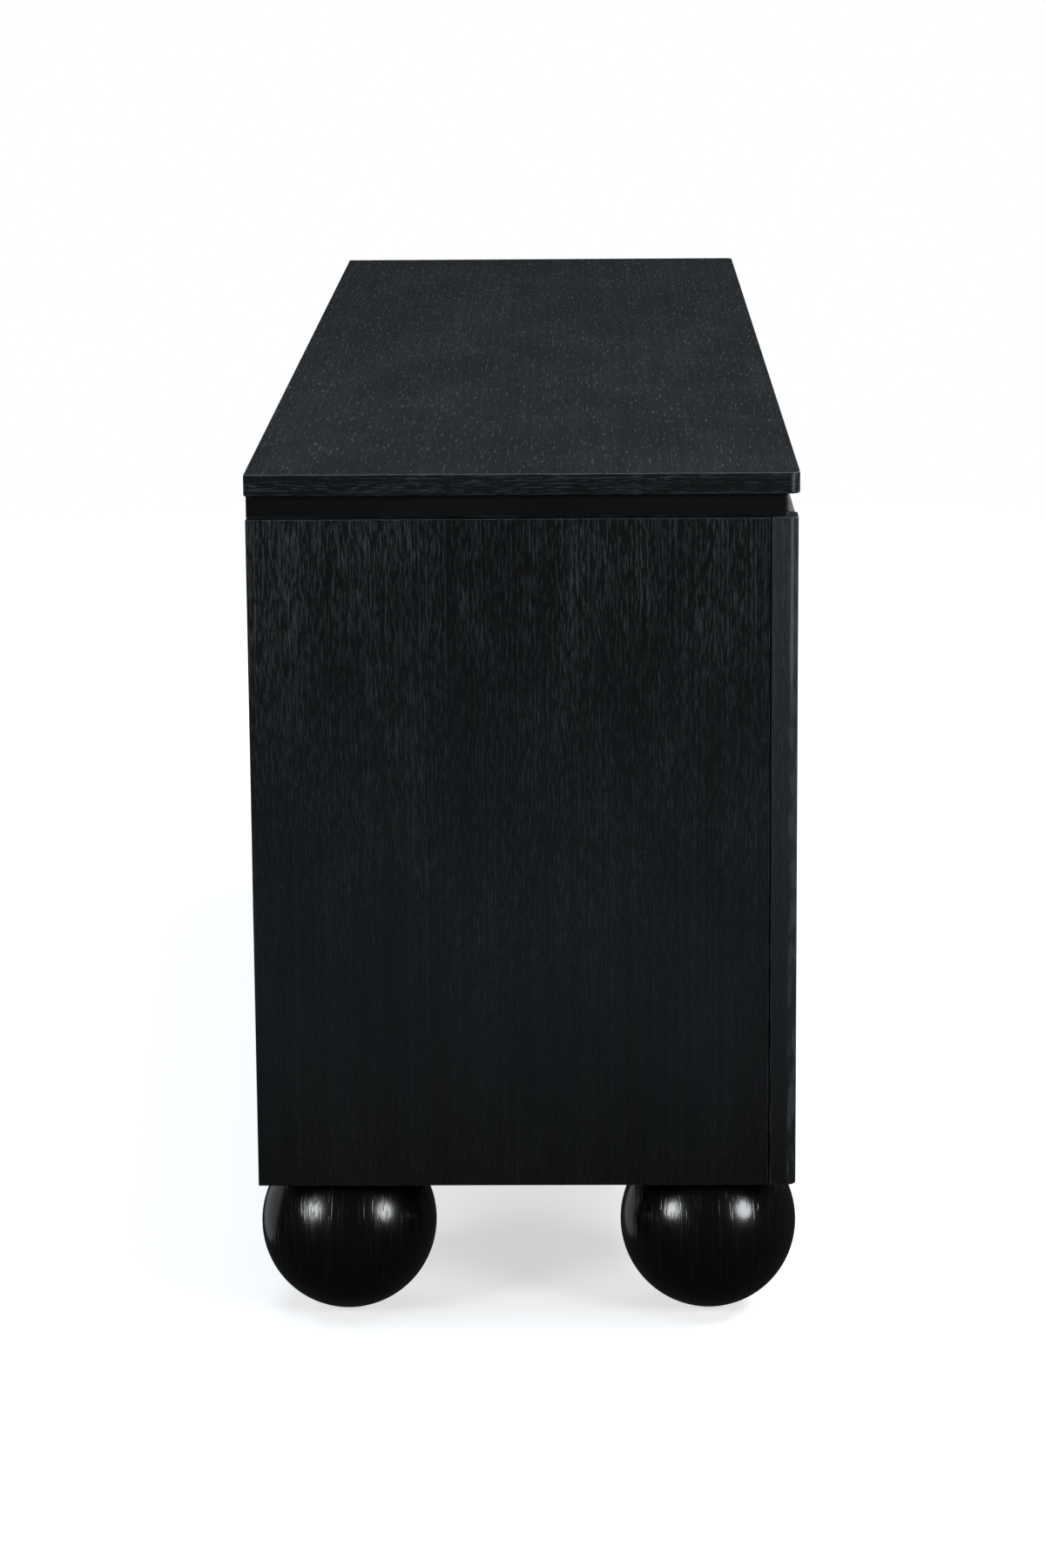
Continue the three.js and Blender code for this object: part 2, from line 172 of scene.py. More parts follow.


# fade is two heights and what the stain is multiplied by at each: painted light and shade by height.
def oak(name, grain, streaks=1.0, lift=1.0, rough=0.0, offset=(0, 0, 0), fade=None, mottle=1.0, specks=0.0):
    material, tree, surface = newMaterial(name)
    where = tree.add("ShaderNodeTexCoord").outputs["Object"]
    turned = tree.add("ShaderNodeMapping", {"Vector": where, "Rotation": turnTo[grain], "Location": offset})
    place = turned.outputs[0]
    pores = tree.noise(place, blackOak["pores"], detail=1.0)
    lines = tree.noise(place, blackOak["lines"], detail=1.0)
    fibres = tree.noise(place, blackOak["fibres"], detail=1.0)
    bands = tree.noise(place, blackOak["bands"], detail=3.0, roughness=0.6)
    clouds = tree.noise(place, blackOak["clouds"], detail=3.0, roughness=0.6)
    steer = tree.math("MULTIPLY", tree.math("SUBTRACT", lines, 0.5), blackOak["lineShare"])
    lined = tree.math("ADD", pores, steer)
    dense = tree.remap(clouds, 0.36, 0.62, 0.6, 1.0)
    bared = tree.math("MULTIPLY", tree.remap(lined, blackOak["poreStart"], blackOak["poreEnd"]), dense)
    ground = tuple(v * lift for v in blackOak["ground"][:3]) + (1,)
    tint = tuple(v * lift for v in blackOak["tint"][:3]) + (1,)
    toned = tree.blend(tree.remap(bands, 0.35, 0.7), ground, tint)
    if fade:
        height = tree.add("ShaderNodeSeparateXYZ", {0: where}).outputs[2]
        # painted shade: the bared fibres fade out towards the bottom
        bared = tree.math("MULTIPLY", bared, tree.remap(height, 0.26, 0.72, 0.15, 1.0, False))
        # painted light and shade: the stain is made lighter or darker by height
        toned = tree.blend(1.0, toned, tree.remap(height, *fade, False), "MULTIPLY")
        # painted shade near the floor, from the shade colour
        foot = tree.blend(tree.remap(height, 0.10, 0.30), blackOak["shade"], (1, 1, 1, 1))
        toned = tree.blend(1.0, toned, foot, "MULTIPLY")
    bared = tree.math("MULTIPLY", bared, streaks)
    if specks:
        dots = tree.remap(tree.noise(place, blackOak["specks"], detail=2.0), 0.62, 0.69, 0.0, specks)
        bared = tree.math("MAXIMUM", bared, dots)
    bared = tree.math("MINIMUM", bared, 1.0)
    streaked = tree.blend(bared, toned, blackOak["streak"])
    edge = tree.add("ShaderNodeAttribute", attribute_name="arris").outputs["Fac"]
    patch = tree.remap(tree.noise(place, blackOak["patches"], detail=3.0), 0.42, 0.62, 0.15, 0.9)
    # the arrises and roundings are painted lighter: partly wear, partly painted highlight
    colour = tree.blend(tree.math("MULTIPLY", edge, patch), streaked, blackOak["rubAndPaintedHighlight"])
    base = blackOak["roughness"] + rough
    shine = tree.remap(clouds, 0.3, 0.7, base - 0.03 * mottle, base + 0.04 * mottle)
    shine = tree.math("SUBTRACT", shine, tree.math("MULTIPLY", edge, blackOak["rubGloss"]))
    roughness = tree.math("ADD", shine, tree.math("MULTIPLY", bared, 0.08))
    height = tree.math("SUBTRACT", tree.math("MULTIPLY", fibres, blackOak["fibreShare"]), bared)
    rubbed = blackOak["bump"] * blackOak["rubBump"]
    strength = tree.remap(edge, 0.0, 1.0, blackOak["bump"], rubbed, False)
    bump = tree.add("ShaderNodeBump", {"Strength": strength, "Distance": blackOak["relief"],
                                       "Height": height})
    joinUp(tree, surface, **{"Base Color": colour, "Roughness": roughness, "Normal": bump.outputs[0]})
    surface.inputs["Specular IOR Level"].default_value = blackOak["gloss"]
    return material


# Turned feet: the same stain under a fuller lacquer, with the rays of the wood along X.
footLacquer = {
    "ground": (0.0030, 0.0031, 0.0032, 1),
    "streak": (0.0050, 0.0054, 0.0057, 1),
    "roughness": 0.14,
    "refraction": 1.5,
    "pores": (90, 460, 14),
    "fibres": (200, 900, 30),
    "sweep": (26, 26, 12),
    "bump": 0.24,
    "relief": 0.0003,
}


def turnedWood():
    material, tree, surface = newMaterial("lacqueredTurnedOak")
    place = tree.add("ShaderNodeTexCoord").outputs["Object"]
    pores = tree.noise(place, footLacquer["pores"], detail=1.0)
    fibres = tree.noise(place, footLacquer["fibres"], detail=1.0)
    sweep = tree.noise(place, footLacquer["sweep"], detail=2.0)
    filled = tree.remap(pores, 0.55, 0.66)
    colour = tree.blend(filled, footLacquer["ground"], footLacquer["streak"])
    base = footLacquer["roughness"]
    polish = tree.remap(sweep, 0.3, 0.7, base, base + 0.07)
    shine = tree.math("ADD", polish, tree.math("MULTIPLY", filled, 0.04))
    height = tree.math("SUBTRACT", tree.math("MULTIPLY", fibres, 0.12), filled)
    bump = tree.add("ShaderNodeBump", {"Strength": footLacquer["bump"], "Distance": footLacquer["relief"],
                                       "Height": height})
    joinUp(tree, surface, **{"Base Color": colour, "Roughness": shine, "Normal": bump.outputs[0]})
    surface.inputs["IOR"].default_value = footLacquer["refraction"]
    return material


poplar = {
    "light": (0.60, 0.42, 0.235, 1),
    "dark": (0.42, 0.265, 0.130, 1),
    "fleck": (0.28, 0.165, 0.075, 1),
    "roughness": 0.48,
    "wander": (3, 3, 0.8),
    "ringsAlong": 1.4,
    "flecks": (900, 900, 38),
    "fibres": (1800, 1800, 45),
    "bump": 0.3,
    "relief": 0.0003,
}


def lining(name, grain, ringScale=38, pale=1.0):
    material, tree, surface = newMaterial(name)
    where = tree.add("ShaderNodeTexCoord").outputs["Object"]
    place = tree.add("ShaderNodeMapping", {"Vector": where, "Rotation": turnTo[grain]}).outputs[0]
    wander = tree.noise(place, poplar["wander"], detail=2.0)
    ringed = (ringScale, ringScale, poplar["ringsAlong"])
    rings = tree.noise(place, ringed, detail=4.0, roughness=0.6, distortion=0.8)
    flecks = tree.remap(tree.noise(place, poplar["flecks"], detail=2.0), 0.6, 0.72)
    fibres = tree.noise(place, poplar["fibres"], detail=2.0)
    toned = tree.blend(tree.remap(rings, 0.3, 0.72), poplar["light"], poplar["dark"])
    toned = tree.blend(tree.remap(wander, 0.3, 0.7, 0.0, 0.35), toned, poplar["light"])
    colour = tree.blend(tree.math("MULTIPLY", flecks, 0.55), toned, poplar["fleck"])
    if pale != 1.0:
        colour = tree.blend(1.0, colour, (pale, pale, pale, 1), "MULTIPLY")
    rough = tree.remap(fibres, 0.3, 0.7, poplar["roughness"] - 0.05, poplar["roughness"] + 0.1)
    height = tree.math("SUBTRACT", tree.math("MULTIPLY", fibres, 0.4), tree.math("MULTIPLY", flecks, 0.6))
    bump = tree.add("ShaderNodeBump", {"Strength": poplar["bump"], "Distance": poplar["relief"],
                                       "Height": height})
    joinUp(tree, surface, **{"Base Color": colour, "Roughness": rough, "Normal": bump.outputs[0]})
    return material


backBoard = {
    "ground": (0.011, 0.0105, 0.010, 1),
    "speck": (0.026, 0.025, 0.023, 1),
    "roughness": 0.62,
    "fluff": (420, 420, 420),
    "clouds": (5, 5, 5),
    "bump": 0.35,
    "relief": 0.0004,
}


def fibreBoard():
    material, tree, surface = newMaterial("paintedBackBoard")
    place = tree.add("ShaderNodeTexCoord").outputs["Object"]
    fluff = tree.noise(place, backBoard["fluff"], detail=4.0, roughness=0.65)
    cloud = tree.noise(place, backBoard["clouds"], detail=3.0)
    speck = tree.remap(fluff, 0.55, 0.75, 0.0, 0.8)
    colour = tree.blend(speck, backBoard["ground"], backBoard["speck"])
    rough = tree.remap(cloud, 0.3, 0.7, backBoard["roughness"], backBoard["roughness"] + 0.14)
    bump = tree.add("ShaderNodeBump", {"Strength": backBoard["bump"], "Distance": backBoard["relief"],
                                       "Height": fluff})
    joinUp(tree, surface, **{"Base Color": colour, "Roughness": rough, "Normal": bump.outputs[0]})
    return material


zinc = {"bright": (0.50, 0.52, 0.53, 1), "dull": (0.33, 0.345, 0.35, 1), "roughness": 0.30}
blackened = {"bright": (0.055, 0.055, 0.06, 1), "dull": (0.03, 0.03, 0.033, 1), "roughness": 0.36}
plating = {"spangle": (160, 160, 160), "drawn": (2600, 30, 2600), "smear": (22, 9, 22), "bump": 0.16,
           "relief": 0.0002}


def plated(name, bright, dull, roughness):
    material, tree, surface = newMaterial(name)
    place = tree.add("ShaderNodeTexCoord").outputs["Object"]
    spangle = tree.noise(place, plating["spangle"], detail=3.0, roughness=0.6)
    drawn = tree.noise(place, plating["drawn"], detail=2.0)
    smear = tree.noise(place, plating["smear"], detail=3.0)
    colour = tree.blend(tree.remap(spangle, 0.35, 0.65), bright, dull)
    smeared = tree.remap(smear, 0.3, 0.7, roughness - 0.06, roughness + 0.12)
    rough = tree.math("ADD", smeared, tree.math("MULTIPLY", drawn, 0.08))
    bump = tree.add("ShaderNodeBump", {"Strength": plating["bump"], "Distance": plating["relief"],
                                       "Height": drawn})
    joinUp(tree, surface, **{"Base Color": colour, "Roughness": rough, "Normal": bump.outputs[0]})
    surface.inputs["Metallic"].default_value = 1.0
    return material


felt = {"low": (0.012, 0.012, 0.013, 1), "high": (0.03, 0.029, 0.028, 1), "roughness": 0.9, "repeats": 1400}
nylon = {"low": (0.52, 0.53, 0.52, 1), "high": (0.60, 0.61, 0.60, 1), "roughness": 0.45, "repeats": 500}


def matt(name, low, high, roughness, repeats):
    material, tree, surface = newMaterial(name)
    place = tree.add("ShaderNodeTexCoord").outputs["Object"]
    pebble = tree.noise(place, (repeats,) * 3, detail=4.0, roughness=0.6)
    colour = tree.blend(tree.remap(pebble, 0.35, 0.65), low, high)
    rough = tree.remap(pebble, 0.3, 0.7, roughness - 0.06, roughness + 0.08)
    bump = tree.add("ShaderNodeBump", {"Strength": 0.3, "Distance": 0.0002, "Height": pebble})
    joinUp(tree, surface, **{"Base Color": colour, "Roughness": rough, "Normal": bump.outputs[0]})
    return material


makeCamera()
print("camera set")

looks = {
    # painted light and shade: the uprights are made lighter or darker by height
    "oakUpright": oak("brushedOakUpright", "z", streaks=0.9, lift=1.06, fade=(0.38, 0.64, 2.0, 0.86)),
    # painted light: the stiles are a much lighter copy of the stain, with painted shade towards the bottom
    "oakStilePaintedLight": oak("brushedOakStilePaintedLight", "z", streaks=0.8, lift=5.4, rough=-0.03, offset=(0.3, 0.1, 0),
                    fade=(0.13, 0.74, 0.36, 0.98)),
    "oakLengthwise": oak("brushedOakLengthwise", "x", streaks=0.6, offset=(0.2, 0, 0.4)),
    "oakTop": oak("brushedOakTop", "x", streaks=0.30, lift=0.8, rough=0.02, mottle=0.7, specks=0.7),
    "oakCross": oak("brushedOakCross", "y", streaks=0.8, offset=(0, 0.4, 0)),
    # painted shade: the risers, set back under the top, are a darker copy of the stain
    "oakPaintedShade": oak("brushedOakPaintedShade", "y", streaks=0.06, lift=0.7, offset=(0.1, 0.7, 0)),
    "oakLedge": oak("brushedOakLedge", "x", streaks=0.2, rough=-0.12, offset=(0.6, 0.1, 0)),
    "foot": turnedWood(),
    "boardX": lining("poplarLengthwise", "x"),
    "boardY": lining("poplarFrontToBack", "y"),
    "sheet": lining("birchSheet", "x", ringScale=16, pale=1.08),
    "back": fibreBoard(),
    "zinc": plated("zincPlate", **zinc),
    "blackScrew": plated("blackedSteel", **blackened),
    "felt": matt("pressedFelt", **felt),
    "cage": matt("cageNylon", **nylon),
}
print("materials made", len(looks))


def placed(name, mesh, body, slot, *materials):
    piece = bpy.data.objects.new(name, mesh)
    bpy.context.scene.collection.objects.link(piece)
    for material in materials:
        mesh.materials.append(looks[material])
    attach(piece, body)
    return piece


joinery = {
    "arris": 0.0007,
    "sharp": math.radians(28),       # an edge that turns further than this is eased
    "merge": 1e-6,
    "flat": math.radians(0.6),       # and one that turns less than this is dissolved
    "upright": 0.05,                 # how far the normal of an upright face may tilt
    "square": 0.999,                 # a face turned further than this from X and Y is part of a rounding
    "crease": math.radians(35),      # where small hardware stays sharp
    "weight": 60,
}


def evenShading(piece):
    piece.data.shade_smooth()
    weighted = piece.modifiers.new("weightedNormals", "WEIGHTED_NORMAL")
    weighted.mode = "FACE_AREA"
    weighted.weight = joinery["weight"]
    weighted.keep_sharp = True


def easeEdges(bm, width, steps, keep=lambda edge: True):
    layer = bm.faces.layers.float.get("arris") or bm.faces.layers.float.new("arris")
    shared = [edge for edge in bm.edges if len(edge.link_faces) == 2]
    sharp = [edge for edge in shared if edge.calc_face_angle() > joinery["sharp"] and keep(edge)]
    made = bmesh.ops.bevel(bm, geom=sharp, offset=width, offset_type="OFFSET", segments=steps, profile=0.5,
                           affect="EDGES", clamp_overlap=True)
    for face in made["faces"]:
        face[layer] = 1.0


def cleanCopy(node):
    bm = bmesh.new()
    bm.from_mesh(nodes[node].data)
    bmesh.ops.remove_doubles(bm, verts=bm.verts, dist=joinery["merge"])
    bmesh.ops.dissolve_limit(bm, angle_limit=joinery["flat"], verts=bm.verts, edges=bm.edges)
    return bm


def board(node, *materials, arris=joinery["arris"], steps=3, passes=None, choose=None):
    bm = cleanCopy(node)
    wornAndPaintedHighlight = bm.faces.layers.float.new("arris")
    for face in bm.faces:
        x, y, z = (abs(part) for part in face.normal)
        if z < joinery["upright"] and max(x, y) < joinery["square"]:     # rounded uprights take the rub colour too: wear and painted highlight
            face[wornAndPaintedHighlight] = 1.0
    for width, keep in passes or [(arris, lambda edge: True)]:
        easeEdges(bm, width, steps, keep)
    bm.normal_update()
    if choose:
        for face in bm.faces:
            face.material_index = choose(face)
    mesh = bpy.data.meshes.new(node + "_eased")
    bm.to_mesh(mesh)
    bm.free()
    piece = placed(node + "_eased", mesh, bodyOf[node], slotOf[node], *materials)
    evenShading(piece)
    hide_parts(node)
    return piece


# The lower edge of the top is rounder than the upper one, and its ends have the grain across.
topEdges = {"upper": 0.0009, "lower": 0.0022, "level": 1e-5, "lying": 0.75, "end": 0.72}
backArris = 0.0005
ledged = bpy.data.collections.new("ledged")          # what the two narrow lights reach
cornered = bpy.data.collections.new("cornered")


def makeTop():
    low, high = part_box("top_panel")

    def around(edge, level):
        return all(abs(vert.co.z - level) < topEdges["level"] for vert in edge.verts)

    def grainOf(face):
        if abs(face.normal.z) > topEdges["lying"]:
            return 0
        return 1 if abs(face.normal.x) > topEdges["end"] else 2

    passes = [(topEdges["lower"], lambda edge: around(edge, low.z)),
              (topEdges["upper"], lambda edge: around(edge, high.z))]
    top = board("top_panel", "oakTop", "oakCross", "oakLengthwise", passes=passes, choose=grainOf)
    cornered.objects.link(top)


def makeCase():
    for side in columns:
        board(f"side_panel_{side}", "oakUpright")
        cornered.objects.link(board(f"end_stile_{side}", "oakStilePaintedLight"))
    for place in ("left", "right", "front", "back"):
        # the risers take the painted shade
        board(f"riser_{place}", "oakPaintedShade")
    board("bottom_panel", "oakLengthwise")
    ledged.objects.link(board("sub_top", "oakLedge"))
    board("partition", "oakUpright")
    board("centre_stile", "oakStilePaintedLight")
    board("back_panel", "back", arris=backArris)


makeTop()
makeCase()
print("case made")


# Builds a Geometry Nodes tree, with one input for each size and one for the material.
class Maker(Tree):
    def __init__(self, name, sizes):
        super().__init__(bpy.data.node_groups.new(name, "GeometryNodeTree"))
        face = self.tree.interface
        face.new_socket("Geometry", in_out="INPUT", socket_type="NodeSocketGeometry")
        for label, value in sizes.items():
            kind = "NodeSocketInt" if isinstance(value, int) else "NodeSocketFloat"
            face.new_socket(label, in_out="INPUT", socket_type=kind).default_value = value
        face.new_socket("Finish", in_out="INPUT", socket_type="NodeSocketMaterial")
        face.new_socket("Geometry", in_out="OUTPUT", socket_type="NodeSocketGeometry")
        self.given = self.add("NodeGroupInput").outputs

    def vector(self, x, y, z):
        return self.add("ShaderNodeCombineXYZ", {0: x, 1: y, 2: z}).outputs[0]

    def end(self, geometry):
        real = self.add("GeometryNodeRealizeInstances", {0: geometry})
        done = self.add("GeometryNodeSetMaterial", {0: real.outputs[0], "Material": self.given["Finish"]})
        self.add("NodeGroupOutput", {0: done.outputs[0]})
        return self.tree


def grown(tree, name, base, finish, sizes, body, slot):
    seed = bpy.data.objects.new(name + "_seed", base)
    bpy.context.scene.collection.objects.link(seed)
    modifier = seed.modifiers.new("grow", "NODES")
    modifier.node_group = tree
    for item in tree.interface.items_tree:
        if item.in_out != "INPUT":
            continue
        if item.name in sizes:
            modifier[item.identifier] = sizes[item.name]
        elif item.name == "Finish":
            modifier[item.identifier] = looks[finish]
    seed.update_tag()
    view = bpy.context.evaluated_depsgraph_get()
    view.update()
    mesh = bpy.data.meshes.new_from_object(seed.evaluated_get(view))
    seed.modifiers.clear()
    bpy.data.objects.remove(seed)
    mesh.name = name
    piece = placed(name, mesh, body, slot)
    piece.data.shade_smooth()
    return piece


def pointMesh(name, spots, facings=None):
    mesh = bpy.data.meshes.new(name)
    mesh.from_pydata([tuple(p) for p in spots], [], [])
    if facings:
        layer = mesh.attributes.new("facing", "FLOAT_VECTOR", "POINT")
        for i, way in enumerate(facings):
            layer.data[i].vector = way
    return mesh


ballFoot = {"Radius": 0.076, "Floor flat": 0.0031, "Seat": 0.05575, "Segments": 96, "Rings": 64}
ballDrop = 0.0015        # how far the whole ball would reach below the floor
feltPad = {"radius": 0.0185, "thickness": 0.0015, "soften": 0.0004, "sides": 64}


def footTree():
    maker = Maker("ballFoot", ballFoot)
    given = maker.given
    ball = maker.add("GeometryNodeMeshUVSphere",
                     {"Segments": given["Segments"], "Rings": given["Rings"], "Radius": given["Radius"]})
    split = maker.add("ShaderNodeSeparateXYZ", {0: maker.add("GeometryNodeInputPosition").outputs[0]})
    under = maker.math("SUBTRACT", given["Floor flat"], given["Radius"])
    clamped = maker.math("MINIMUM", maker.math("MAXIMUM", split.outputs[2], under), given["Seat"])
    flattened = maker.add("GeometryNodeSetPosition",
                          {"Geometry": ball.outputs[0],
                           "Position": maker.vector(split.outputs[0], split.outputs[1], clamped)})
    feet = maker.add("GeometryNodeInstanceOnPoints",
                     {"Points": given["Geometry"], "Instance": flattened.outputs[0]})
    return maker.end(feet.outputs[0])


def makeFeet():
    names = [f"ball_foot_{place}_{side}" for place in ("front", "back") for side in columns]
    centres = []
    for name in names:
        low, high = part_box(name)
        centres.append(((low.x + high.x) / 2, (low.y + high.y) / 2, ballFoot["Radius"] - ballDrop))
    feet = grown(footTree(), "ball_feet", pointMesh("footSpots", centres), "foot", ballFoot, "case",
                 "turned_black_wood")
    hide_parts(*names)
    return centres


# A plate with the given outline, from start to end along an axis.
def plate(bm, outline, axis, start, end, index=0):
    def spot(a, b, along):
        return {"x": (along, a, b), "y": (a, along, b), "z": (a, b, along)}[axis]

    near = [bm.verts.new(spot(a, b, start)) for a, b in outline]
    far = [bm.verts.new(spot(a, b, end)) for a, b in outline]
    faces = [bm.faces.new(near), bm.faces.new(far)]
    for i in range(len(outline)):
        j = (i + 1) % len(outline)
        faces.append(bm.faces.new((near[i], near[j], far[j], far[i])))
    for face in faces:
        face.material_index = index
    bmesh.ops.recalc_face_normals(bm, faces=faces)


def plateBox(bm, low, high):
    outline = [(low[0], low[1]), (high[0], low[1]), (high[0], high[1]), (low[0], high[1])]
    plate(bm, outline, "z", low[2], high[2])


def ring(centre, radius, sides):
    turns = [2 * math.pi * i / sides for i in range(sides)]
    return [(centre[0] + radius * math.cos(t), centre[1] + radius * math.sin(t)) for t in turns]


def meshFrom(bm, name):
    bm.normal_update()
    mesh = bpy.data.meshes.new(name)
    bm.to_mesh(mesh)
    bm.free()
    return mesh


def makePads(centres):
    bm = bmesh.new()
    for x, y, _ in centres:
        plate(bm, ring((x, y), feltPad["radius"], feltPad["sides"]), "z", 0.0, feltPad["thickness"])
    easeEdges(bm, feltPad["soften"], 2)
    pads = placed("felt_pads", meshFrom(bm, "felt_pads"), "case", "turned_black_wood", "felt")
    evenShading(pads)


makePads(makeFeet())
print("feet made")


drawerBox = {
    "wall": 0.012,
    "fingers": 7,
    "play": 0.0001,
    "soften": 0.0005,
    "groovePlay": 0.0003,
    "flat": math.radians(0.5),
    "frontArris": 0.0009,
}


# The outline of a board with fingers at both ends; first says which fingers stand out.
def fingered(lowA, highA, lowB, highB, first):
    count, wall, play = drawerBox["fingers"], drawerBox["wall"], drawerBox["play"]
    step = (highB - lowB) / count

    def end(outer, inward):
        points = []
        for i in range(count):
            out = i % 2 == first
            a = outer if out else outer + inward * (wall + play)
            trim = play / 2 if out else -play / 2
            lower = lowB + i * step + (trim if i else 0)
            upper = lowB + (i + 1) * step - (trim if i < count - 1 else 0)
            points += [(a, lower), (a, upper)]
        return points

    return end(lowA, 1) + end(highA, -1)[::-1]


def drawerBoards(drawer):
    low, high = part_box(f"{drawer}_box")
    sheetLow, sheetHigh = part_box(f"{drawer}_base")
    wall = drawerBox["wall"]
    bm = bmesh.new()
    sideOutline = fingered(low.y, high.y, low.z, high.z, 0)
    endOutline = fingered(low.x, high.x, low.z, high.z, 1)
    plate(bm, sideOutline, "x", low.x, low.x + wall, 1)
    plate(bm, sideOutline, "x", high.x - wall, high.x, 1)
    plate(bm, endOutline, "y", low.y, low.y + wall, 0)
    plate(bm, endOutline, "y", high.y - wall, high.y, 0)
    boards = bpy.data.objects.new("boards", meshFrom(bm, "boards"))
    play = Vector((drawerBox["groovePlay"],) * 3)
    groove = bmesh.new()
    plateBox(groove, sheetLow - play, sheetHigh + play)
    cutter = bpy.data.objects.new("groove", meshFrom(groove, "groove"))
    for item in (boards, cutter):
        bpy.context.scene.collection.objects.link(item)
    cut = boards.modifiers.new("groove", "BOOLEAN")
    cut.operation = "DIFFERENCE"
    cut.solver = "EXACT"
    cut.object = cutter
    view = bpy.context.evaluated_depsgraph_get()
    view.update()
    mesh = bpy.data.meshes.new_from_object(boards.evaluated_get(view))
    bpy.data.objects.remove(boards)
    bpy.data.objects.remove(cutter)
    eased = bmesh.new()
    eased.from_mesh(mesh)
    bmesh.ops.remove_doubles(eased, verts=eased.verts, dist=joinery["merge"])
    bmesh.ops.dissolve_limit(eased, angle_limit=drawerBox["flat"], verts=eased.verts, edges=eased.edges,
                             delimit={"MATERIAL"})
    easeEdges(eased, drawerBox["soften"], 2)
    return meshFrom(eased, f"{drawer}_box_boards")


def makeDrawers():
    first = drawers[0]
    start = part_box(f"{first}_box")[0]
    pattern = drawerBoards(first)
    for drawer in drawers:
        mesh = pattern.copy()
        mesh.name = f"{drawer}_box_boards"
        mesh.transform(Matrix.Translation(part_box(f"{drawer}_box")[0] - start))
        boards = placed(f"{drawer}_box_boards", mesh, f"{drawer}_drawer", "drawer_wood", "boardX", "boardY")
        evenShading(boards)
        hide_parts(f"{drawer}_box")
        board(f"{drawer}_front", "oakLengthwise", arris=drawerBox["frontArris"])
        base = nodes[f"{drawer}_base"]
        base.data.materials.clear()
        base.data.materials.append(looks["sheet"])


makeDrawers()
print("drawers made")


slide = {
    "soften": 0.0004,
    "sheet": 0.0012,
    "screwPlaces": (0.06, 0.34, 0.66, 0.94),     # shares of the length
    "cagePlace": 0.62,
    "cageOut": 0.0073,                           # from the side of the box
}
slideScrews = {"Head height": 0.0013}
caseScrews = {"Head height": 0.0010}
frontScrews = {"Head radius": 0.0042, "Head height": 0.0020, "Slot length": 0.0046}
frontScrewPlaces = {"across": (0.12, 0.37, 0.63, 0.88), "up": (0.34, 0.76)}
ballCage = {"Length": 0.19, "Balls": 12, "Ball radius": 0.0021, "Row height": 0.0139, "Plate offset": 0.0021,
            "Plate thickness": 0.0006, "Lug depth": 0.0012, "Ends": 0.012, "Web share": 1.96}


def cageTree():
    maker = Maker("ballCage", ballCage)
    given = maker.given
    gap = maker.math("DIVIDE", given["Length"], maker.math("SUBTRACT", given["Balls"], 1.0))
    start = maker.math("MULTIPLY", given["Length"], -0.5)
    plateLength = maker.math("ADD", given["Length"], given["Ends"])
    ball = maker.add("GeometryNodeMeshUVSphere", {"Segments": 8, "Rings": 6, "Radius": given["Ball radius"]})
    joined = maker.add("GeometryNodeJoinGeometry")
    for sign in (1, -1):
        level = maker.math("MULTIPLY", given["Row height"], sign)
        row = maker.add("GeometryNodeMeshLine", {"Count": given["Balls"],
                                                 "Start Location": maker.vector(0.0, start, level),
                                                 "Offset": maker.vector(0.0, gap, 0.0)})
        balls = maker.add("GeometryNodeInstanceOnPoints",
                          {"Points": row.outputs[0], "Instance": ball.outputs[0]})
        maker.tree.links.new(balls.outputs[0], joined.inputs[0])
        lugWidth = maker.math("ADD", given["Plate offset"], given["Lug depth"])
        lug = maker.add("GeometryNodeMeshCube",
                        {"Size": maker.vector(lugWidth, plateLength, given["Plate thickness"])})
        lugAcross = maker.math("SUBTRACT", given["Plate offset"], given["Lug depth"])
        lugPlace = maker.vector(maker.math("MULTIPLY", lugAcross, 0.5), 0.0, level)
        moved = maker.add("GeometryNodeTransform", {"Geometry": lug.outputs[0], "Translation": lugPlace})
        maker.tree.links.new(moved.outputs[0], joined.inputs[0])
    webHeight = maker.math("MULTIPLY", given["Row height"], given["Web share"])
    web = maker.add("GeometryNodeMeshCube",
                    {"Size": maker.vector(given["Plate thickness"], plateLength, webHeight)})
    webPlace = maker.vector(given["Plate offset"], 0.0, 0.0)
    webMoved = maker.add("GeometryNodeTransform", {"Geometry": web.outputs[0], "Translation": webPlace})
    maker.tree.links.new(webMoved.outputs[0], joined.inputs[0])
    facing = maker.add("GeometryNodeInputNamedAttribute", {"Name": "facing"}, data_type="FLOAT_VECTOR")
    aligned = maker.add("FunctionNodeAlignRotationToVector", {"Vector": facing.outputs[0]}, axis="X",
                        pivot_axis="Z")
    cages = maker.add("GeometryNodeInstanceOnPoints", {"Points": given["Geometry"],
                                                       "Instance": joined.outputs[0],
                                                       "Rotation": aligned.outputs[0]})
    return maker.end(cages.outputs[0])


screw = {"Head radius": 0.0034, "Head height": 0.0016, "Underside": -0.02, "Slot width": 0.0009,
         "Slot length": 0.0038, "Slot depth": 0.0011, "Segments": 20, "Rings": 12, "Seed": 7}


